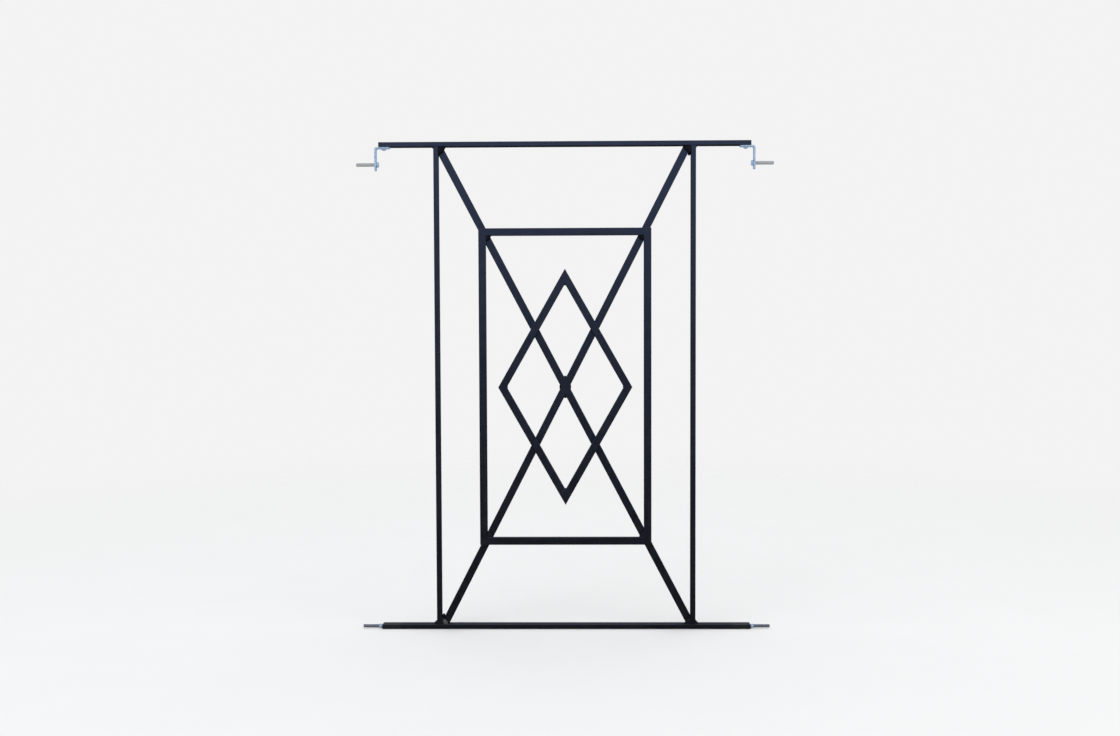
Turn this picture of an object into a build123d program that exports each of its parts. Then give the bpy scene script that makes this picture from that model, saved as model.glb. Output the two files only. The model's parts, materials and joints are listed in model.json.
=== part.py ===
from build123d import *
import os
from math import hypot

# Window security grille: a welded steel panel held in a window reveal. Two pins in its bottom
# rail stand in the walls, and two bent straps under its top rail are screwed to them.
# Millimetres. X runs across the window, Y into the building, Z up. The origin is the middle of
# the opening's width and of the panel's height, in the mid-plane of the outer frame.

# Outer frame: flat bars with their broad side turned into the reveal
panel_height = 1050.0
top_rail_length = 795.0
bottom_rail_length = 800.0
frame_depth = 20.0
frame_thickness = 10.0
upright_spacing = 550.0
bottom_rail_end_radius = 3.0

# Inner bars: flat bars with their broad side to the front
bar_width = 16.0
bar_thickness = 10.0
edge_radius = 0.8

# Centre lines of the inner frame and of the diamond, as half sizes
inner_frame_half_width = 177.0
inner_frame_half_height = 333.0
diamond_half_width = 135.0
diamond_half_height = 238.0

# The whole diagonal's centre line runs into the frame's inside corners. The halves' centre line
# meets the rails this far from the uprights.
half_diagonal_inset = 7.0

# Bent strap brackets, between the top rail and the reveal's walls
opening_width = 813.0
strap_width = 16.0
strap_thickness = 3.0
strap_bend_radius = 2.0
strap_corner_radius = 3.0
rail_leg_length = 32.0
wall_leg_length = 50.0
rail_hole_distance = 20.0
wall_hole_distance = 37.0

# Pins in the bottom rail's ends, with a collar that fills the gap to the wall
wall_pin_radius = 3.0
wall_pin_collar_radius = 4.0
wall_pin_seat = 25.0
wall_pin_reach = 35.0

# Rail screws: M5 button heads in tapped holes in the top rail
rail_screw_radius = 2.5
rail_screw_length = 12.0
rail_screw_head_radius = 4.75
rail_screw_head_height = 2.8
rail_screw_head_dome = 2.2
rail_screw_socket_flats = 3.0
rail_screw_socket_depth = 1.6
rail_washer_radius = 5.0
rail_washer_thickness = 1.0
tapped_hole_radius = 2.55
tapped_hole_depth = 9.0
rail_clearance_radius = 2.75

# Wall screws: hexagon head wood screws, 6 x 40, in nylon plugs
wall_screw_radius = 3.0
wall_screw_length = 40.0
wall_screw_point_length = 6.0
wall_screw_point_radius = 0.4
wall_screw_head_flats = 10.0
wall_screw_head_height = 4.0
wall_washer_radius = 6.0
wall_washer_thickness = 1.2
wall_clearance_radius = 3.3
plug_radius = 4.0
plug_length = 40.0
plug_bore_radius = 3.05
washer_clearance = 0.2
tip_chamfer = 0.5

# Weld beads: the legs of their sections, and how far the cap bulges past a flat one. The inner
# corners of the outer and the inner frame are built up with weld, in front of the diagonals.
head_outer_weld_leg = 3.5
head_inner_weld_leg = 16.0
foot_outer_weld_leg = 7.0
foot_inner_weld_leg = 14.0
vee_weld_leg = 14.0
inner_frame_weld_leg = 11.0
diamond_weld_leg = 3.0
lap_weld_leg = 3.5
centre_weld_leg = 6.0
weld_bulge = 0.62
lap_window = 34.0
weld_end_gap = 0.5

# Worked out from the above
front_y = -frame_depth / 2
back_y = frame_depth / 2
layer_y = front_y + bar_thickness
rail_inner_z = panel_height / 2 - frame_thickness
rail_centre_z = panel_height / 2 - frame_thickness / 2
upright_x = upright_spacing / 2
upright_inner_x = upright_x - frame_thickness / 2
upright_outer_x = upright_x + frame_thickness / 2
wall_x = opening_width / 2
half_top_x = upright_inner_x - half_diagonal_inset
strap_middle = strap_thickness / 2
upward = (Align.CENTER, Align.CENTER, Align.MIN)
downward = (Align.CENTER, Align.CENTER, Align.MAX)


def save(shape, node):
    """Write one node, as a compound when it is a group of separate solids."""
    if isinstance(shape, list):
        shape = Compound(children=shape)
    export_step(shape, f"parts/{node}.step")


def unit(vector):
    """The direction of a vector in the panel's plane, with length one."""
    length = hypot(*vector)
    return (vector[0] / length, vector[1] / length)


through_run = unit((-upright_inner_x, rail_inner_z))
half_run = unit((half_top_x, rail_inner_z))


def crossing(point_a, direction_a, point_b, direction_b):
    """The point where two lines in the panel's plane cross."""
    gap_x = point_b[0] - point_a[0]
    gap_z = point_b[1] - point_a[1]
    turn = direction_a[0] * direction_b[1] - direction_a[1] * direction_b[0]
    along = (gap_x * direction_b[1] - gap_z * direction_b[0]) / turn
    return (point_a[0] + along * direction_a[0], point_a[1] + along * direction_a[1])


def slab(outline, low_y, high_y):
    """A solid with the given outline in X and Z, between two depths."""
    plane = Plane(origin=(0, high_y, 0), x_dir=(1, 0, 0), z_dir=(0, -1, 0))
    return extrude(plane * Polygon(*outline, align=None), amount=high_y - low_y)


def soften(bar, direction):
    """Round a bar's four long edges, as rolled stock has them."""
    along = Axis((0, 0, 0), (direction[0], 0, direction[1]))
    return fillet(bar.edges().filter_by(along), edge_radius)


def side_point(direction, side):
    """The point beside the origin on one long edge of a diagonal, side being 1 or -1."""
    return (-direction[1] * side * bar_width / 2, direction[0] * side * bar_width / 2)


def strip(direction, start):
    """The outline of a long diagonal along a direction, from a distance along it outwards."""
    outline = []
    for side, reach in ((1, panel_height), (1, start), (-1, start), (-1, panel_height)):
        foot = side_point(direction, side)
        outline.append((foot[0] + direction[0] * reach, foot[1] + direction[1] * reach))
    return outline


def ring_side(corners, index):
    """One mitred side of a closed ring of flat bar: its outline and its direction.

    The ring is convex, its corners run anticlockwise and lie on the bars' centre lines.
    """
    count = len(corners)
    points = [corners[(index + step - 1) % count] for step in range(4)]
    runs = [unit((b[0] - a[0], b[1] - a[1])) for a, b in zip(points, points[1:])]
    outline = []
    for offset in (bar_width / 2, -bar_width / 2):
        lines = []
        for start, run in zip(points, runs):
            normal = (run[1], -run[0])
            lines.append(((start[0] + normal[0] * offset, start[1] + normal[1] * offset), run))
        ends = [crossing(*lines[0], *lines[1]), crossing(*lines[1], *lines[2])]
        outline += ends if offset > 0 else ends[::-1]
    return outline, runs[1]


def weld_bead(start, end, leg_a, leg_b):
    """A bead along an inside corner. The two legs lie in the corner's faces, from the corner."""
    corner = Vector(*start)
    toe_a = corner + Vector(*leg_a)
    toe_b = corner + Vector(*leg_b)
    cap = corner + (Vector(*leg_a) + Vector(*leg_b)) * weld_bulge
    section = make_face(
        [Line(corner, toe_a), ThreePointArc(toe_a, cap, toe_b), Line(toe_b, corner)]
    )
    run = Vector(*end) - corner
    return extrude(section, amount=run.length, dir=run.normalized())


def corner_bead(corner, face_a, face_b, leg, low_y, high_y):
    """A bead along Y in the corner between two side faces, given by directions in the plane."""
    legs = [(face[0] * leg, 0, face[1] * leg) for face in (face_a, face_b)]
    return weld_bead((corner[0], low_y, corner[1]), (corner[0], high_y, corner[1]), *legs)


def rounded_rail(length, centre_z, end_radius):
    """A rail between the reveals with its end corners rounded, and its long edges softened."""
    rail = Pos(0, 0, centre_z) * Box(length, frame_depth, frame_thickness)
    ends = rail.edges().filter_by(Axis.Y)
    return fillet(fillet(ends, end_radius).edges().filter_by(Axis.X), edge_radius)


def make_rails():
    """The top rail, tapped from below, and the bottom rail, bored in its ends for the pins."""
    tap = Cylinder(tapped_hole_radius, tapped_hole_depth, align=upward)
    bore = Cylinder(wall_pin_radius, wall_pin_seat, align=downward)
    top = rounded_rail(top_rail_length, rail_centre_z, edge_radius)
    bottom = rounded_rail(bottom_rail_length, -rail_centre_z, bottom_rail_end_radius)
    for side in (-1, 1):
        top -= Pos(side * (wall_x - rail_hole_distance), 0, rail_inner_z) * tap
        bottom -= Pos(side * bottom_rail_length / 2, 0, -rail_centre_z) * Rot(0, side * 90, 0) * bore
    save(top, "top_rail")
    save(bottom, "bottom_rail")


def make_wall_pins():
    """The pins that stand out of the bottom rail's ends into the walls."""
    gap = wall_x - bottom_rail_length / 2
    shaft = Cylinder(wall_pin_radius, wall_pin_seat + gap + wall_pin_reach, align=upward)
    tip = shaft.edges().filter_by(GeomType.CIRCLE).sort_by(Axis.Z)[-1]
    collar = Pos(0, 0, wall_pin_seat) * Cylinder(wall_pin_collar_radius, gap, align=upward)
    seat = Pos(bottom_rail_length / 2 - wall_pin_seat, 0, -rail_centre_z) * Rot(0, 90, 0)
    right = seat * (chamfer(tip, tip_chamfer) + collar)
    save(right, "right_wall_pin")
    save(mirror(right, Plane.YZ), "left_wall_pin")


def make_uprights():
    """The two uprights, cut to fit between the rails."""
    for side, node in ((-1, "left_upright"), (1, "right_upright")):
        blank = Box(frame_thickness, frame_depth, 2 * rail_inner_z)
        save(soften(Pos(side * upright_x, 0, 0) * blank, (0, 1)), node)


def make_diagonals():
    """The cross behind: one whole diagonal, and one in two halves that butt against it.

    Each half is drawn from inside the whole diagonal, which then cuts it to length.
    """
    window = slab(
        [
            (-upright_inner_x, -rail_inner_z),
            (upright_inner_x, -rail_inner_z),
            (upright_inner_x, rail_inner_z),
            (-upright_inner_x, rail_inner_z),
        ],
        layer_y,
        back_y,
    )
    inside = bar_width / 4
    through = slab(strip(through_run, -panel_height), layer_y, back_y)
    save(soften(through & window, through_run), "through_diagonal")
    for node, end in (("lower_half_diagonal", -1), ("upper_half_diagonal", 1)):
        run = (half_run[0] * end, half_run[1] * end)
        half = (slab(strip(run, inside), layer_y, back_y) & window) - through
        save(soften(half, run), node)


def inner_frame_corners():
    """The inner frame's centre line corners, anticlockwise from the lower left."""
    x = inner_frame_half_width
    z = inner_frame_half_height
    return [(-x, -z), (x, -z), (x, z), (-x, z)]


def diamond_corners():
    """The diamond's centre line corners, anticlockwise from the left."""
    x = diamond_half_width
    z = diamond_half_height
    return [(-x, 0), (0, -z), (x, 0), (0, z)]


def make_rings():
    """The mitred rectangle and the mitred diamond, in the front half of the panel's depth."""
    sides = {
        "inner_frame_bottom": (inner_frame_corners(), 0),
        "inner_frame_right": (inner_frame_corners(), 1),
        "inner_frame_top": (inner_frame_corners(), 2),
        "inner_frame_left": (inner_frame_corners(), 3),
        "diamond_lower_left": (diamond_corners(), 0),
        "diamond_lower_right": (diamond_corners(), 1),
        "diamond_upper_right": (diamond_corners(), 2),
        "diamond_upper_left": (diamond_corners(), 3),
    }
    for node, (corners, index) in sides.items():
        outline, run = ring_side(corners, index)
        save(soften(slab(outline, front_y, layer_y), run), node)


def strap_bracket():
    """A right-hand bracket. The rail lies on its top face at z = 0, and the wall is at x = 0."""
    middle_line = FilletPolyline(
        (-rail_leg_length, 0, -strap_middle),
        (-strap_middle, 0, -strap_middle),
        (-strap_middle, 0, -wall_leg_length),
        radius=strap_bend_radius + strap_middle,
    )
    section = Plane(origin=middle_line @ 0, x_dir=(0, 1, 0), z_dir=(1, 0, 0))
    strap = sweep(section * Rectangle(strap_width, strap_thickness), path=middle_line)
    rail_tip = strap.edges().filter_by(Axis.Z).sort_by(Axis.X)[0:2]
    strap = fillet(rail_tip, strap_corner_radius)
    wall_tip = strap.edges().filter_by(Axis.X).sort_by(Axis.Z)[0:2]
    strap = fillet(wall_tip, strap_corner_radius)
    drill_length = 4 * strap_thickness
    rail_drill = Cylinder(rail_clearance_radius, drill_length)
    wall_drill = Rot(0, 90, 0) * Cylinder(wall_clearance_radius, drill_length)
    strap -= Pos(-rail_hole_distance, 0, 0) * rail_drill
    strap -= Pos(0, 0, -wall_hole_distance) * wall_drill
    return strap


def rail_screw():
    """A button head screw up through the bracket's rail leg, in the bracket's own frame."""
    shank = Cylinder(rail_screw_radius, rail_screw_length, align=upward)
    tip = shank.edges().filter_by(GeomType.CIRCLE).sort_by(Axis.Z)[-1]
    head = Cylinder(rail_screw_head_radius, rail_screw_head_height, align=downward)
    rim = head.edges().filter_by(GeomType.CIRCLE).sort_by(Axis.Z)[0]
    hexagon = RegularPolygon(rail_screw_socket_flats / 2, 6, major_radius=False)
    socket = extrude(Pos(0, 0, -rail_screw_head_height) * hexagon, amount=rail_screw_socket_depth)
    body = chamfer(tip, tip_chamfer) + fillet(rim, rail_screw_head_dome) - socket
    return Pos(-rail_hole_distance, 0, -strap_thickness - rail_washer_thickness) * body


def washer(radius, thickness, screw_radius):
    """A flat washer with its upper face at z = 0, and room round its screw."""
    disc = Cylinder(radius, thickness, align=downward)
    return disc - Cylinder(screw_radius + washer_clearance, 2 * thickness, align=downward)


def wall_screw():
    """A hexagon head wood screw out through the wall leg, in the bracket's own frame.

    The head is the hexagon inside a cone, which takes off its outer corners.
    """
    straight = wall_screw_length - wall_screw_point_length
    shank = Cylinder(wall_screw_radius, straight, align=upward)
    point = Cone(wall_screw_radius, wall_screw_point_radius, wall_screw_point_length, align=upward)
    flats_radius = wall_screw_head_flats / 2
    hexagon = RegularPolygon(flats_radius, 6, major_radius=False)
    head = extrude(hexagon, amount=-wall_screw_head_height)
    crown_reach = flats_radius + wall_screw_head_height
    crown = Cone(flats_radius, crown_reach, wall_screw_head_height, align=downward)
    body = shank + Pos(0, 0, straight) * point + (head & crown)
    seat_x = -strap_thickness - wall_washer_thickness
    return Pos(seat_x, 0, -wall_hole_distance) * Rot(0, 90, 0) * body


def wall_plug():
    """The nylon plug in the masonry, flush with the wall, in the bracket's own frame."""
    sleeve = Cylinder(plug_radius, plug_length, align=upward)
    tip = sleeve.edges().filter_by(GeomType.CIRCLE).sort_by(Axis.Z)[-1]
    bore = Cylinder(plug_bore_radius, 2 * plug_length)
    return Pos(0, 0, -wall_hole_distance) * Rot(0, 90, 0) * (chamfer(tip, tip_chamfer) - bore)


def make_fixings():
    """The two brackets under the top rail, and their fasteners."""
    rail_seat = Pos(-rail_hole_distance, 0, -strap_thickness)
    rail_washer = washer(rail_washer_radius, rail_washer_thickness, rail_screw_radius)
    wall_seat = Pos(-strap_thickness, 0, -wall_hole_distance) * Rot(0, 90, 0)
    wall_washer = washer(wall_washer_radius, wall_washer_thickness, wall_screw_radius)
    pieces = {
        "rail_screws": rail_screw(),
        "rail_screw_washers": rail_seat * rail_washer,
        "wall_screws": wall_screw(),
        "wall_screw_washers": wall_seat * wall_washer,
        "wall_plugs": wall_plug(),
    }
    corner = Pos(wall_x, 0, rail_inner_z)
    right_bracket = corner * strap_bracket()
    save(right_bracket, "right_bracket")
    save(mirror(right_bracket, Plane.YZ), "left_bracket")
    for node, piece in pieces.items():
        right = corner * piece
        save([right, mirror(right, Plane.YZ)], node)


def make_upright_welds():
    """Beads in the corners between uprights and rails: full depth outside, front half inside."""
    low = front_y + weld_end_gap + edge_radius
    high = back_y - weld_end_gap - edge_radius
    middle = layer_y - weld_end_gap
    legs = {
        1: (head_outer_weld_leg, head_inner_weld_leg),
        -1: (foot_outer_weld_leg, foot_inner_weld_leg),
    }
    beads = []
    for side in (-1, 1):
        for end, (outer_leg, inner_leg) in legs.items():
            along_bar = (0, -end)
            outer = (side * upright_outer_x, end * rail_inner_z)
            inner = (side * upright_inner_x, end * rail_inner_z)
            beads.append(corner_bead(outer, (side, 0), along_bar, outer_leg, low, high))
            beads.append(corner_bead(inner, (-side, 0), along_bar, inner_leg, low, middle))
    save(beads, "upright_weld_beads")


def make_diagonal_end_welds():
    """Beads in the narrow corners between the uprights and the halves' outer ends."""
    low = layer_y + weld_end_gap + edge_radius
    high = back_y - weld_end_gap - edge_radius
    beads = []
    for side in (-1, 1):
        outer_edge = side_point(half_run, -1)
        outer_edge = (outer_edge[0] * side, outer_edge[1] * side)
        corner = crossing(outer_edge, half_run, (side * upright_inner_x, 0), (0, 1))
        inward = (-half_run[0] * side, -half_run[1] * side)
        beads.append(corner_bead(corner, inward, (0, -side), vee_weld_leg, low, high))
    save(beads, "diagonal_end_weld_beads")


def mitre_beads(corners, leg):
    """Beads in the inside corners of a ring, in the front half of the panel's depth."""
    beads = []
    for index in range(len(corners)):
        _, previous_run = ring_side(corners, index - 1)
        outline, run = ring_side(corners, index)
        back_along = (-previous_run[0], -previous_run[1])
        low = front_y + weld_end_gap + edge_radius
        high = layer_y - weld_end_gap
        beads.append(corner_bead(outline[3], back_along, run, leg, low, high))
    return beads


def lap_beads(corners, indices, diagonal_run, near):
    """Beads behind a ring, down both edges of a diagonal, where the ring's bars lie on it."""
    sides = [slab(ring_side(corners, index)[0], layer_y, back_y) for index in indices]
    footprint = Part() + sides
    window = Pos(near[0], layer_y, near[1]) * Box(lap_window, 2 * frame_depth, lap_window)
    beads = []
    for side in (-1, 1):
        foot = side_point(diagonal_run, side)
        outward = unit(foot)
        start = [foot[axis] - diagonal_run[axis] * panel_height / 2 for axis in (0, 1)]
        end = [foot[axis] + diagonal_run[axis] * panel_height / 2 for axis in (0, 1)]
        long_bead = weld_bead(
            (start[0], layer_y, start[1]),
            (end[0], layer_y, end[1]),
            (0, lap_weld_leg, 0),
            (outward[0] * lap_weld_leg, 0, outward[1] * lap_weld_leg),
        )
        beads += (long_bead & footprint & window).solids()
    return beads


def make_ring_welds():
    """The inner frame's and the diamond's beads: in their mitres, and behind them on the cross."""
    frame = inner_frame_corners()
    frame_beads = mitre_beads(frame, inner_frame_weld_leg)
    for index, run in enumerate((half_run, through_run, half_run, through_run)):
        frame_beads += lap_beads(frame, (index - 1, index), run, frame[index])
    save(frame_beads, "inner_frame_weld_beads")

    diamond = diamond_corners()
    diamond_beads = mitre_beads(diamond, diamond_weld_leg)
    for index, run in enumerate((half_run, through_run, half_run, through_run)):
        _, side_run = ring_side(diamond, index)
        near = crossing((0, 0), run, diamond[index], side_run)
        diamond_beads += lap_beads(diamond, (index,), run, near)
    save(diamond_beads, "diamond_weld_beads")


def make_centre_welds():
    """Beads in the four corners where the halves butt against the whole diagonal."""
    low = layer_y + weld_end_gap + edge_radius
    high = back_y - weld_end_gap - edge_radius
    beads = []
    for through_side in (-1, 1):
        for half_side in (-1, 1):
            through_foot = side_point(through_run, through_side)
            half_foot = side_point(half_run, half_side)
            corner = crossing(through_foot, through_run, half_foot, half_run)
            faces = []
            for run in (through_run, half_run):
                outward = 1 if corner[0] * run[0] + corner[1] * run[1] > 0 else -1
                faces.append((run[0] * outward, run[1] * outward))
            beads.append(corner_bead(corner, *faces, centre_weld_leg, low, high))
    save(beads, "centre_weld_beads")


os.makedirs("parts", exist_ok=True)
make_rails()
make_wall_pins()
make_uprights()
make_diagonals()
make_rings()
make_fixings()
make_upright_welds()
make_diagonal_end_welds()
make_ring_welds()
make_centre_welds()
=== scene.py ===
import bmesh
import bpy
import json
import random
from itertools import combinations
from math import atan2, cos, pi, radians, sin, sqrt

import numpy as np
from mathutils import Matrix, Vector


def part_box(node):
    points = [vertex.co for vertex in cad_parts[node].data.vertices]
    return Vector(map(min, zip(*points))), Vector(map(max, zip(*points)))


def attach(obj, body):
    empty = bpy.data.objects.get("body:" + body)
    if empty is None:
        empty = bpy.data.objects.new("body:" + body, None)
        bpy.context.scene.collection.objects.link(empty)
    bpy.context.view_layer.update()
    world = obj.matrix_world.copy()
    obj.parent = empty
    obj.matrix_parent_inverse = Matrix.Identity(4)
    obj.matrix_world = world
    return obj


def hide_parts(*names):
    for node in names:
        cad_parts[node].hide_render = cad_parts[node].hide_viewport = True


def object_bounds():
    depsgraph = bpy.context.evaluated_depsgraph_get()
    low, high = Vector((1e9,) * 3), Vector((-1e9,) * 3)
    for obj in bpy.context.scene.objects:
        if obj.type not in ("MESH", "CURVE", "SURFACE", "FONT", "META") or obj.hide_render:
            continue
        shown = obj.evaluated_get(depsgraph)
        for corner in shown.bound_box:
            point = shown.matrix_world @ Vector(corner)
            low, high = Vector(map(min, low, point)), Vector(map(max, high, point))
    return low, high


# A welded window security grille. Metres, in the row frame: X across the window, Y into the
# building, Z up, with the origin in the middle of the opening.

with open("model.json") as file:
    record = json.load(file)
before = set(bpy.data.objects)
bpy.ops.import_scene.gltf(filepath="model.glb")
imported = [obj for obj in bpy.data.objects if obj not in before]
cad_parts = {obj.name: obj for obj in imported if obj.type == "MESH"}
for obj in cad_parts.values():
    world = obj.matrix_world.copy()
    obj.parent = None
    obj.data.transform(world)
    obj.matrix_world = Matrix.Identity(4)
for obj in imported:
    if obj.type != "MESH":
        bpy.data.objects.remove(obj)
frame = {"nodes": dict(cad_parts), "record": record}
cad_low, cad_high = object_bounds()
nodes = frame["nodes"]
millimetre = 0.001

# The camera stands in front of the grille, a little above its middle, and looks slightly down
camera_place = Vector((0.0222, -2.4294, 0.1434))
camera_yaw = radians(0.788)
camera_pitch = radians(-2.411)
camera_roll = radians(-0.21)
camera_lens = 36.264
sensor_width = 36.0

# Linear colours
pale = (0.896, 0.896, 0.896, 1)
black_enamel = (0.0045, 0.0045, 0.0052, 1)
worn_enamel = (0.0105, 0.0102, 0.0102, 1)
dust = (0.016, 0.0165, 0.019, 1)
rust = (0.085, 0.034, 0.016, 1)
dark_rust = (0.028, 0.014, 0.009, 1)
brown_film = (0.046, 0.036, 0.028, 1)
# Bare steel on worn edges and under zinc; also the grey of the painted highlight on the weld at the
# left upright's foot
bare_steel_and_highlight_grey = (0.090, 0.088, 0.085, 1)
wall_blue = (0.34, 0.47, 0.64, 1)
wall_blue_dirty = (0.21, 0.28, 0.37, 1)
nylon_grey = (0.33, 0.335, 0.34, 1)
masonry_dust = (0.46, 0.43, 0.38, 1)
zinc = (0.30, 0.29, 0.275, 1)
floor_light = (0.82, 0.82, 0.82, 1)
floor_shade = (0.80, 0.80, 0.80, 1)

# Wear: how far from an edge the paint is rubbed, and the film on the bottom rail's ends
bar_edge_wear = 0.0011
strap_edge_wear = 0.0010
film_length = 0.044
film_fade = 0.006

# Reading the plain CAD beads: corners nearer than this are one, faces whose normals agree this
# well are one flat side, and a side with this many corners is a bead's end
joined_corners = 0.002 * millimetre
same_plane = 0.9999
end_corners = 7

# Laid beads: the seed of the first node's, and the step along a bead and round its section
first_bead_seed = 40
bead_step = 0.35 * millimetre
section_step = 0.6 * millimetre

# Wall plugs: the bore, the barrel between the rings, the ring count, and the mesh's fineness
plug_bore = 3.05 * millimetre
plug_barrel = 3.62 * millimetre
plug_rings = 11
plug_around = 64
plug_slices = 150


# ---------------------------------------------------------------- shader helpers


def add(tree, kind, inputs=None, **settings):
    """One shader node: its settings, and its inputs as values or as other nodes' sockets."""
    made = tree.nodes.new("ShaderNode" + kind)
    for name, value in settings.items():
        setattr(made, name, value)
    for name, value in (inputs or {}).items():
        if isinstance(value, bpy.types.NodeSocket):
            tree.links.new(value, made.inputs[name])
        else:
            made.inputs[name].default_value = value
    return made


def noise(tree, vector, scale, detail=3.0, roughness=0.55):
    """A noise texture's grey value."""
    inputs = {"Vector": vector, "Scale": scale, "Detail": detail, "Roughness": roughness}
    return add(tree, "TexNoise", inputs).outputs[0]


def ramp(tree, value, low, high, out_low=0.0, out_high=1.0):
    """A smooth step of a value from one range to another, held at its ends."""
    inputs = {
        "Value": value,
        "From Min": low,
        "From Max": high,
        "To Min": out_low,
        "To Max": out_high,
    }
    return add(tree, "MapRange", inputs, interpolation_type="SMOOTHSTEP").outputs["Result"]


def math_of(tree, operation, first, second=0.0):
    """One arithmetic node."""
    return add(tree, "Math", {0: first, 1: second}, operation=operation).outputs[0]


def mixed(tree, factor, first, second):
    """One colour laid over another by a factor."""
    inputs = {0: factor, 6: first, 7: second}
    return add(tree, "Mix", inputs, data_type="RGBA").outputs[2]


def bumped(tree, height, distance, strength, below=None):
    """A bump of a height, in metres, on top of another bump."""
    inputs = {"Height": height, "Distance": distance, "Strength": strength}
    if below is not None:
        inputs["Normal"] = below
    return add(tree, "Bump", inputs).outputs[0]


def stretched(tree, coordinates, turn, along, across):
    """Coordinates turned about Y so that X runs along a bar, and scaled for long strokes."""
    inputs = {"Vector": coordinates, "Rotation": (0, turn, 0)}
    turned = add(tree, "Mapping", inputs).outputs[0]
    inputs = {"Vector": turned, "Scale": (along, across, across)}
    return add(tree, "Mapping", inputs).outputs[0]


def start_material(name):
    """An empty node material: its tree, its shader, and the row frame's coordinates."""
    material = bpy.data.materials.new(name)
    material.use_nodes = True
    tree = material.node_tree
    shader = tree.nodes["Principled BSDF"]
    coordinates = add(tree, "TexCoord").outputs["Object"]
    return material, tree, shader, coordinates


def edge_mask(tree, radius):
    """How near a convex edge is: the rounded normal drawn apart from the true one."""
    rounded = add(tree, "Bevel", {"Radius": radius}, samples=4).outputs[0]
    normal = add(tree, "NewGeometry").outputs["Normal"]
    dot = add(tree, "VectorMath", {0: rounded, 1: normal}, operation="DOT_PRODUCT")
    return ramp(tree, dot.outputs["Value"], 0.999, 0.93)


def upward_mask(tree):
    """One on faces that look up, none on upright ones."""
    normal = add(tree, "NewGeometry").outputs["Normal"]
    up = add(tree, "SeparateXYZ", {0: normal}).outputs["Z"]
    return ramp(tree, up, 0.55, 0.9)


# ---------------------------------------------------------------- materials


def enamel(name, turn, weathered_ends=None):
    """Brushed-on semi-gloss black enamel on a bar that runs at an angle from X, about Y.

    weathered_ends is the distance from the middle past which a rail has a dull brown film.
    """
    material, tree, shader, place = start_material(name)
    strokes = noise(tree, stretched(tree, place, turn, 14, 520), 1.0, 4.0, 0.6)
    runs = noise(tree, stretched(tree, place, turn, 7, 90), 1.0, 3.0)
    patches = noise(tree, place, 38.0, 4.0, 0.6)
    peel = noise(tree, place, 900.0, 2.0)
    scuffs = noise(tree, place, 47.0, 8.0, 0.72)

    colour = mixed(tree, ramp(tree, patches, 0.42, 0.72, 0, 0.7), black_enamel, worn_enamel)
    colour = mixed(tree, ramp(tree, strokes, 0.55, 0.75, 0, 0.5), colour, worn_enamel)
    scuffed = ramp(tree, scuffs, 0.54, 0.66)
    edges = math_of(tree, "MULTIPLY", edge_mask(tree, bar_edge_wear), scuffed)
    colour = mixed(tree, math_of(tree, "MULTIPLY", edges, 0.55), colour, bare_steel_and_highlight_grey)
    speckles = ramp(tree, noise(tree, place, 170.0, 5.0, 0.7), 0.67, 0.72)
    colour = mixed(tree, math_of(tree, "MULTIPLY", speckles, 0.5), colour, dark_rust)
    upward = upward_mask(tree)
    settled = math_of(tree, "MULTIPLY", upward, ramp(tree, patches, 0.25, 0.6, 0.45, 0.9))
    colour = mixed(tree, settled, colour, dust)
    if weathered_ends is not None:
        x = add(tree, "SeparateXYZ", {0: place}).outputs["X"]
        end = ramp(tree, math_of(tree, "ABSOLUTE", x), weathered_ends, weathered_ends + film_fade)
        blotch = ramp(tree, noise(tree, place, 90.0, 5.0, 0.65), 0.35, 0.65, 0.35, 0.95)
        film = math_of(tree, "MULTIPLY", end, blotch)
        film = math_of(tree, "MULTIPLY", film, ramp(tree, upward, 0, 1, 0.25, 1.0))
        colour = mixed(tree, film, colour, brown_film)

    gloss = ramp(tree, runs, 0.3, 0.7, 0.26, 0.36)
    gloss = math_of(tree, "ADD", gloss, math_of(tree, "MULTIPLY", settled, 0.22))
    gloss = math_of(tree, "ADD", gloss, math_of(tree, "MULTIPLY", edges, 0.2))

    normal = bumped(tree, runs, 0.5 * millimetre, 0.3)
    normal = bumped(tree, strokes, 0.09 * millimetre, 0.45, normal)
    normal = bumped(tree, peel, 0.04 * millimetre, 0.3, normal)
    tree.links.new(colour, shader.inputs["Base Color"])
    tree.links.new(gloss, shader.inputs["Roughness"])
    tree.links.new(normal, shader.inputs["Normal"])
    return material


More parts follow.
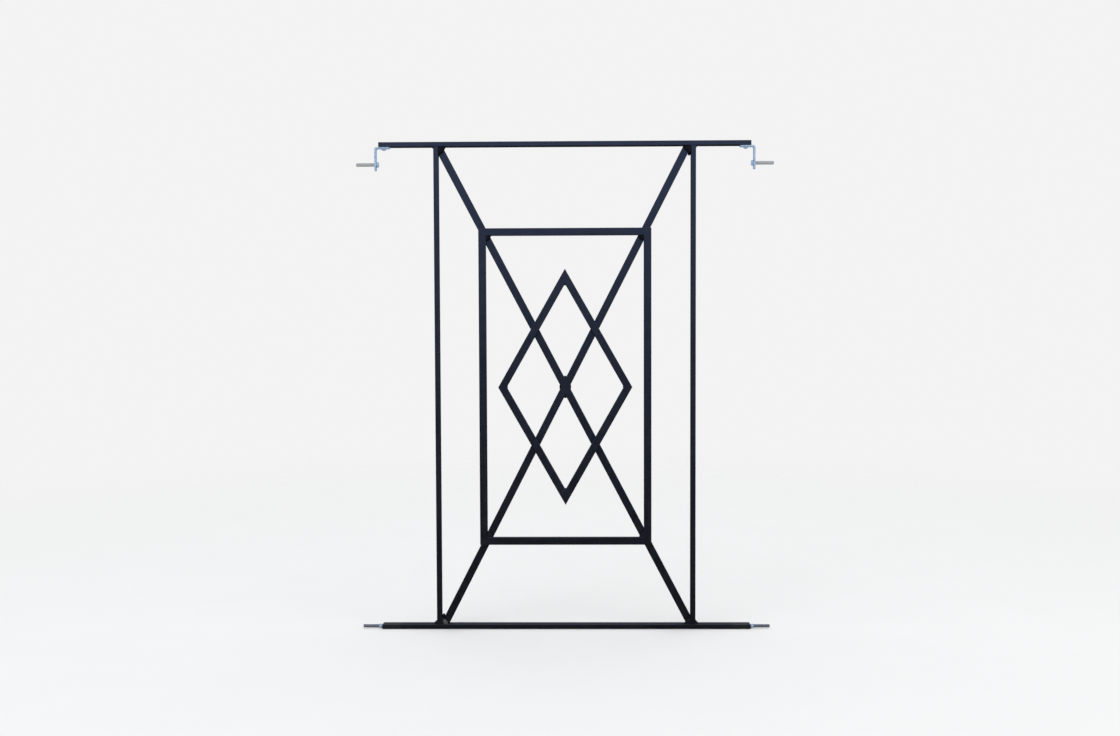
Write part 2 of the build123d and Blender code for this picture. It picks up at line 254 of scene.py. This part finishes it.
def weld_enamel():
    """The same enamel over weld beads: dull and sooty, with rust in the toes.

    The built-up bead at the left upright's foot carries a painted highlight: a grey patch that
    stands in for light on the lump.
    """
    material, tree, shader, place = start_material("enamel_on_welds")
    blotches = noise(tree, place, 150.0, 5.0, 0.65)
    colour = mixed(tree, ramp(tree, blotches, 0.40, 0.65, 0, 0.5), black_enamel, worn_enamel)
    rusty = ramp(tree, noise(tree, place, 260.0, 5.0, 0.7), 0.58, 0.66)
    colour = mixed(tree, math_of(tree, "MULTIPLY", rusty, 0.4), colour, dark_rust)
    settled = math_of(tree, "MULTIPLY", upward_mask(tree), 0.4)
    colour = mixed(tree, settled, colour, dust)
    # Painted highlight: the bead at the left upright's foot turns grey around this point, standing
    # in for light on the lump
    _, upright_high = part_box("left_upright")
    _, rail_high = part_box("bottom_rail")
    highlight_spot = (upright_high.x + 9 * millimetre, -5 * millimetre, rail_high.z + 6 * millimetre)
    away = add(tree, "VectorMath", {0: place, 1: highlight_spot}, operation="DISTANCE").outputs["Value"]
    near = ramp(tree, away, 9 * millimetre, 4 * millimetre)
    patch = math_of(tree, "MULTIPLY", near, ramp(tree, blotches, 0.3, 0.55, 0.4, 1.0))
    colour = mixed(tree, patch, colour, bare_steel_and_highlight_grey)
    gloss = ramp(tree, blotches, 0.3, 0.7, 0.50, 0.68)
    normal = bumped(tree, noise(tree, place, 1100.0, 3.0), 0.08 * millimetre, 0.5)
    tree.links.new(colour, shader.inputs["Base Color"])
    tree.links.new(gloss, shader.inputs["Roughness"])
    tree.links.new(normal, shader.inputs["Normal"])
    shader.inputs["Specular IOR Level"].default_value = 0.14
    return material


def wall_paint(name, wear, beyond_wall=None):
    """Flat pale blue wall paint brushed over steel, chipped to rusty metal at its edges.

    wear says how much has chipped off. Past the wall's distance from the middle, where one is
    given, the metal was never painted and is dull zinc.
    """
    material, tree, shader, place = start_material(name)
    brush = noise(tree, stretched(tree, place, pi / 2, 60, 700), 1.0, 4.0, 0.6)
    grime = noise(tree, place, 110.0, 5.0, 0.65)
    colour = mixed(tree, ramp(tree, grime, 0.42, 0.75, 0, 0.6), wall_blue, wall_blue_dirty)
    chipped = ramp(tree, grime, 0.62 - wear, 0.68 - wear)
    edges = math_of(tree, "MULTIPLY", edge_mask(tree, strap_edge_wear), chipped)
    colour = mixed(tree, math_of(tree, "MULTIPLY", edges, 0.8), colour, dark_rust)
    chips = ramp(tree, noise(tree, place, 320.0, 3.0, 0.6), 0.74 - wear, 0.76 - wear)
    colour = mixed(tree, chips, colour, rust)
    gloss = ramp(tree, grime, 0.3, 0.7, 0.55, 0.75)
    if beyond_wall is not None:
        x = add(tree, "SeparateXYZ", {0: place}).outputs["X"]
        bare = ramp(tree, math_of(tree, "ABSOLUTE", x), beyond_wall, beyond_wall + 0.5 * millimetre)
        spangle = add(tree, "TexVoronoi", {"Vector": place, "Scale": 700.0}).outputs["Distance"]
        metal = mixed(tree, ramp(tree, spangle, 0.1, 0.9), zinc, bare_steel_and_highlight_grey)
        colour = mixed(tree, bare, colour, metal)
        gloss = math_of(tree, "SUBTRACT", gloss, math_of(tree, "MULTIPLY", bare, 0.25))
        tree.links.new(math_of(tree, "MULTIPLY", bare, 0.9), shader.inputs["Metallic"])
    normal = bumped(tree, brush, 0.25 * millimetre, 0.5)
    normal = bumped(tree, chips, -0.12 * millimetre, 0.6, normal)
    tree.links.new(colour, shader.inputs["Base Color"])
    tree.links.new(gloss, shader.inputs["Roughness"])
    tree.links.new(normal, shader.inputs["Normal"])
    return material


def moulded_nylon():
    """Light grey nylon with a fine moulded grain and a little masonry dust."""
    material, tree, shader, place = start_material("moulded_nylon")
    dusty = noise(tree, place, 180.0, 5.0, 0.6)
    colour = mixed(tree, ramp(tree, dusty, 0.45, 0.8, 0, 0.4), nylon_grey, masonry_dust)
    tree.links.new(colour, shader.inputs["Base Color"])
    tree.links.new(ramp(tree, dusty, 0.3, 0.7, 0.40, 0.58), shader.inputs["Roughness"])
    normal = bumped(tree, noise(tree, place, 2200.0, 2.0), 0.03 * millimetre, 0.5)
    tree.links.new(normal, shader.inputs["Normal"])
    shader.inputs["Subsurface Weight"].default_value = 0.08
    shader.inputs["Subsurface Radius"].default_value = (0.001, 0.001, 0.001)
    return material


def paint(node, material):
    """Give a CAD node one material."""
    mesh = nodes[node].data
    mesh.materials.clear()
    mesh.materials.append(material)
    for face in mesh.polygons:
        face.material_index = 0


def bar_turn(node):
    """The angle about Y, from X, at which a CAD bar runs, by its two far ends."""
    points = np.array([v.co for v in nodes[node].data.vertices])
    spread = points - points.mean(0)
    _, directions = np.linalg.eigh(spread.T @ spread)
    along = directions[:, -1]
    return atan2(-along[2], along[0])


def paint_bars():
    """Enamel on every bar, its strokes along the bar."""
    _, rail_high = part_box("bottom_rail")
    weathered = rail_high.x - film_length
    paint("top_rail", enamel("enamel_top_rail", 0.0))
    paint("bottom_rail", enamel("enamel_bottom_rail", 0.0, weathered))
    for node in nodes:
        bar = node.startswith(("inner_frame", "diamond")) or node.endswith(("upright", "diagonal"))
        if bar and not node.endswith("weld_beads"):
            paint(node, enamel("enamel_" + node, bar_turn(node)))


def paint_fixings():
    """Wall paint on the brackets, and on what shows of the screws, washers and pins."""
    _, bracket_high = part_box("right_bracket")
    wall = bracket_high.x
    strap = wall_paint("wall_paint_on_straps", 0.08)
    hardware = wall_paint("wall_paint_on_hardware", 0.12, wall)
    for node in nodes:
        if node.endswith("bracket"):
            paint(node, strap)
        elif node.endswith(("screws", "washers", "wall_pin")):
            paint(node, hardware)


# ---------------------------------------------------------------- weld beads


def grown_groups(faces, belongs):
    """Faces in groups, each grown over shared edges to faces that belong with its first one."""
    seen = set()
    groups = []
    for first in faces:
        if first in seen:
            continue
        seen.add(first)
        group = [first]
        for face in group:
            for edge in face.edges:
                for near in edge.link_faces:
                    if near not in seen and belongs(first, near):
                        seen.add(near)
                        group.append(near)
        groups.append(group)
    return groups


def solids_of(node):
    """The separate solids of a CAD node, each as a list of its faces, with joined corners."""
    joined = bmesh.new()
    joined.from_mesh(nodes[node].data)
    bmesh.ops.remove_doubles(joined, verts=joined.verts, dist=joined_corners)
    joined.verts.index_update()
    joined.normal_update()
    return joined, grown_groups(joined.faces, lambda first, near: True)


def flat_sides(solid):
    """A bead's flat sides as groups of joined faces in one plane, the largest first.

    Its ends are left out: they have the cap's curve for an edge, and so more corners.
    """
    sides = grown_groups(solid, lambda first, near: abs(first.normal.dot(near.normal)) > same_plane)
    sides = [side for side in sides if len(corners_of(side)) < end_corners]
    sides.sort(key=lambda side: -sum(face.calc_area() for face in side))
    return sides


def corners_of(side):
    """Every corner of a group of faces, in the mesh's order."""
    corners = {corner for face in side for corner in face.verts}
    return sorted(corners, key=lambda corner: corner.index)


def bead_run(solid):
    """A plain bead's corner line, from its start to its end, and its section's two legs.

    The two largest flat sides that meet lie on the bars, and the corner line is where they do.
    A bead with slanting ends is taken only as far as it has its full section.
    """
    for side_a, side_b in combinations(flat_sides(solid), 2):
        shared = [corner.co.copy() for corner in corners_of(side_a) if corner in corners_of(side_b)]
        if len(shared) > 1:
            break
    axis = side_a[0].normal.cross(side_b[0].normal).normalized()
    base = min(shared, key=axis.dot)
    base_along = base.dot(axis)
    lows = [base_along]
    highs = [max(corner.dot(axis) for corner in shared)]
    legs = []
    for side in (side_a, side_b):
        places = [corner.co.copy() for corner in corners_of(side)]
        offsets = [place - base - axis * (place - base).dot(axis) for place in places]
        leg = max(offsets, key=lambda offset: offset.length)
        toes = [
            place.dot(axis)
            for place, offset in zip(places, offsets)
            if offset.length > 0.9 * leg.length
        ]
        lows.append(min(toes))
        highs.append(max(toes))
        legs.append(leg)
    start = base + axis * (max(lows) - base_along)
    end = base + axis * (min(highs) - base_along)
    return start, end, legs


def rippled_bead(solid, chance, vertices, faces):
    """One weld bead as laid by hand: crescent ripples, an uneven width and rounded ends."""
    start, end, legs = bead_run(solid)
    axis = (end - start).normalized()
    length = (end - start).length
    leg = sqrt(legs[0].length * legs[1].length)
    steps = max(14, int(length / bead_step))
    arc_steps = max(10, int(leg / section_step))
    pitch = chance.uniform(1.5, 2.1) * millimetre
    phases = [chance.uniform(0, 2 * pi) for _ in range(4)]
    end_round = min(0.7 * leg, 0.35 * length)
    rings = []
    for step in range(steps + 1):
        t = length * step / steps
        inset = 1 - min(1.0, min(t, length - t) / end_round)
        cap = 0.10 + 0.90 * sqrt(max(0.0, 1 - inset**2))
        slow = 0.22 * sin(t / (2.9 * millimetre) + phases[0])
        quick = 0.12 * sin(t / (1.2 * millimetre) + phases[1])
        wander = 1 + (slow + quick) * millimetre / leg
        ring = [start - (legs[0] + legs[1]) * (0.12 * millimetre / leg)]
        for arc in range(arc_steps + 1):
            share = arc / arc_steps
            lift = 4 * share * (1 - share)
            crescent = 1.3 * millimetre * (1 - lift)
            ripple = 0.18 * millimetre / leg * sin(2 * pi * (t + crescent) / pitch + phases[2])
            sway = sin(t / (1.7 * millimetre) + phases[3] + 2 * share)
            toe = 0.2 * millimetre / leg * sway * (1 - lift)
            straight = legs[0] * (1 - share) + legs[1] * share
            middle = (legs[0] + legs[1]) * (0.12 * lift)
            size = cap * (wander + ripple * (0.4 + lift) + toe)
            ring.append(start + (straight + middle) * size)
        rings.append([point + axis * t for point in ring])
    base = len(vertices)
    width = arc_steps + 2
    for ring in rings:
        vertices.extend(tuple(point) for point in ring)
    for step in range(steps):
        for side in range(width):
            a = base + step * width + side
            b = base + step * width + (side + 1) % width
            faces.append((a, b, b + width, a + width))
    faces.append(tuple(base + side for side in range(width))[::-1])
    faces.append(tuple(base + steps * width + side for side in range(width)))


def build_mesh(name, vertices, faces, material, replaced):
    """A finished piece of the object, riding on its one body."""
    mesh = bpy.data.meshes.new(name)
    mesh.from_pydata(vertices, [], faces)
    closed = bmesh.new()
    closed.from_mesh(mesh)
    bmesh.ops.recalc_face_normals(closed, faces=closed.faces)
    if closed.calc_volume(signed=True) < 0:
        bmesh.ops.reverse_faces(closed, faces=closed.faces)
    closed.to_mesh(mesh)
    closed.free()
    mesh.materials.append(material)
    piece = bpy.data.objects.new(name, mesh)
    bpy.context.scene.collection.objects.link(piece)
    mesh.shade_smooth()
    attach(piece, "root")
    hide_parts(replaced)
    return piece


def lay_welds():
    """Rippled beads in place of every plain CAD bead."""
    material = weld_enamel()
    for number, node in enumerate(sorted(name for name in nodes if name.endswith("weld_beads"))):
        chance = random.Random(first_bead_seed + number)
        vertices = []
        faces = []
        joined, solids = solids_of(node)
        for solid in solids:
            rippled_bead(solid, chance, vertices, faces)
        joined.free()
        build_mesh(node.replace("_beads", "s"), vertices, faces, material, node)


# ---------------------------------------------------------------- wall plugs


def ribbed_plugs():
    """Nylon expansion plugs: ringed barrels with two slots and two fins, one at each wall mount."""
    vertices = []
    faces = []
    for mount in frame["record"]["mounts"]:
        if not mount["name"].endswith("wall_plug"):
            continue
        radius = mount["dims"]["r_mm"] * millimetre
        length = mount["dims"]["length_mm"] * millimetre
        axis = Vector(mount["axis"])
        start = Vector(mount["pos_m"]) - axis * (length / 2)
        side = axis.orthogonal().normalized()
        other = axis.cross(side)
        base = len(vertices)
        for step in range(plug_slices + 1):
            share = step / plug_slices
            for turn in range(plug_around):
                angle = 2 * pi * turn / plug_around
                radial = side * cos(angle) + other * sin(angle)
                reach = plug_radius_at(share, angle, radius)
                vertices.append(tuple(start + axis * (length * share) + radial * reach))
        for step in (plug_slices, 0):
            for turn in range(plug_around):
                angle = 2 * pi * turn / plug_around
                radial = side * cos(angle) + other * sin(angle)
                centre = start + axis * (length * step / plug_slices)
                vertices.append(tuple(centre + radial * plug_bore))
        for step in range(plug_slices + 2):
            for turn in range(plug_around):
                a = base + step * plug_around + turn
                b = base + step * plug_around + (turn + 1) % plug_around
                faces.append((a, b, b + plug_around, a + plug_around))
        last = base + (plug_slices + 2) * plug_around
        for turn in range(plug_around):
            after = (turn + 1) % plug_around
            faces.append((last + turn, last + after, base + after, base + turn))
    build_mesh("nylon_wall_plugs", vertices, faces, moulded_nylon(), "wall_plugs")


def plug_radius_at(share, angle, full):
    """A plug's radius at a share of its length and an angle round it."""
    if share < 0.04:
        return full
    if share > 0.965:
        return plug_barrel * (1 - 5 * (share - 0.965))
    ring = (share * plug_rings) % 1.0
    radius = plug_barrel + (full - plug_barrel) * (0.85 * ring if 0.16 < share < 0.92 else 0.2)
    slot = abs(sin(angle))
    fin = abs(cos(angle))
    if 0.22 < share < 0.94 and slot < 0.14:
        radius = plug_barrel - 0.42 * millimetre
    if 0.10 < share < 0.55 and fin < 0.10:
        radius = full
    return radius


# ---------------------------------------------------------------- camera, light and floor


def place_camera():
    """The camera, looking along +Y with a slight yaw, pitch and roll."""
    data = bpy.data.cameras.new("camera")
    data.lens = camera_lens
    data.sensor_width = sensor_width
    data.clip_end = 100
    camera = bpy.data.objects.new("camera", data)
    turn = Matrix.Rotation(camera_yaw, 4, "Z") @ Matrix.Rotation(pi / 2 + camera_pitch, 4, "X")
    roll = Matrix.Rotation(camera_roll, 4, "Z")
    camera.matrix_world = Matrix.Translation(camera_place) @ turn @ roll
    bpy.context.scene.collection.objects.link(camera)
    bpy.context.scene.camera = camera


def softbox(name, place, aim, width, height, power, colour=(1, 1, 1)):
    """A rectangular area light aimed at a point."""
    data = bpy.data.lights.new(name, "AREA")
    data.shape = "RECTANGLE"
    data.size = width
    data.size_y = height
    data.energy = power
    data.color = colour
    lamp = bpy.data.objects.new(name, data)
    lamp.location = place
    lamp.rotation_euler = (Vector(aim) - Vector(place)).to_track_quat("-Z", "Y").to_euler()
    bpy.context.scene.collection.objects.link(lamp)


def light_scene():
    """A pale room, a sky in front for the gloss to mirror, and three softboxes."""
    world = bpy.data.worlds.new("studio")
    bpy.context.scene.world = world
    world.use_nodes = True
    tree = world.node_tree
    tree.nodes.clear()
    direction = add(tree, "TexCoord").outputs["Generated"]
    axes = add(tree, "SeparateXYZ", {0: direction})
    share = math_of(tree, "ADD", math_of(tree, "MULTIPLY", axes.outputs["Z"], 0.5), 0.5)
    front = add(tree, "ValToRGB", {0: share})
    stops = (
        (0.00, (0.012, 0.012, 0.012, 1)),
        (0.38, (0.012, 0.012, 0.012, 1)),
        (0.44, (0.034, 0.036, 0.041, 1)),
        (0.49, (0.17, 0.20, 0.33, 1)),
        (0.56, (0.52, 0.82, 1.75, 1)),
        (0.62, (0.72, 1.08, 2.20, 1)),
        (0.80, (0.65, 0.90, 1.60, 1)),
        (1.00, (0.80, 0.92, 1.20, 1)),
    )
    elements = front.color_ramp.elements
    elements[0].position, elements[0].color = stops[0]
    elements[1].position, elements[1].color = stops[-1]
    for position, colour in stops[1:-1]:
        elements.new(position).color = colour
    behind = add(tree, "ValToRGB", {0: share})
    elements = behind.color_ramp.elements
    elements[0].position, elements[0].color = 0.40, (0.03, 0.03, 0.035, 1)
    elements[1].position, elements[1].color = 0.85, (0.22, 0.26, 0.38, 1)
    elements.new(0.5).color = (0.05, 0.055, 0.075, 1)
    is_behind = ramp(tree, axes.outputs["Y"], -0.15, 0.25)
    mirrored = mixed(tree, is_behind, front.outputs[0], behind.outputs[0])
    path = add(tree, "LightPath")
    shown = mixed(tree, path.outputs["Is Glossy Ray"], (1.0, 1.0, 1.0, 1), mirrored)
    shown = mixed(tree, path.outputs["Is Camera Ray"], shown, pale)
    background = add(tree, "Background", {"Color": shown})
    output = add(tree, "OutputWorld")
    tree.links.new(background.outputs[0], output.inputs["Surface"])

    middle = (cad_low + cad_high) / 2
    softbox("key", (-1.6, -2.2, 2.9), middle, 1.8, 1.4, 20, (0.90, 0.95, 1.0))
    softbox("fill", (2.3, -1.6, 0.6), middle, 1.4, 1.8, 7)
    softbox("rim", (0.5, 1.6, 3.0), middle, 2.0, 1.2, 7)


def lay_floor():
    """A pale floor under the grille that fades into the pale room."""
    reach = 5.0
    mesh = bpy.data.meshes.new("floor")
    z = cad_low.z
    corners = [(-reach, -reach, z), (reach, -reach, z), (reach, reach, z), (-reach, reach, z)]
    mesh.from_pydata(corners, [], [(0, 1, 2, 3)])
    floor = bpy.data.objects.new("floor", mesh)
    bpy.context.scene.collection.objects.link(floor)
    floor.visible_glossy = False
    material, tree, shader, place = start_material("pale_floor")
    grain = noise(tree, place, 6.0, 4.0)
    colour = mixed(tree, ramp(tree, grain, 0.3, 0.7, 0, 0.35), floor_light, floor_shade)
    tree.links.new(colour, shader.inputs["Base Color"])
    shader.inputs["Roughness"].default_value = 0.9
    shader.inputs["Specular IOR Level"].default_value = 0.1
    flat = add(tree, "VectorMath", {0: place, 1: (1, 1, 0)}, operation="MULTIPLY").outputs[0]
    radius = add(tree, "VectorMath", {0: flat}, operation="LENGTH").outputs["Value"]
    fade = ramp(tree, radius, 0.9, 3.6)
    clear = add(tree, "BsdfTransparent").outputs[0]
    blended = add(tree, "MixShader", {0: fade, 1: shader.outputs[0], 2: clear}).outputs[0]
    tree.links.new(blended, tree.nodes["Material Output"].inputs["Surface"])
    mesh.materials.append(material)


bpy.context.scene.view_settings.view_transform = "Standard"
place_camera()
paint_bars()
paint_fixings()
lay_welds()
ribbed_plugs()
light_scene()
lay_floor()
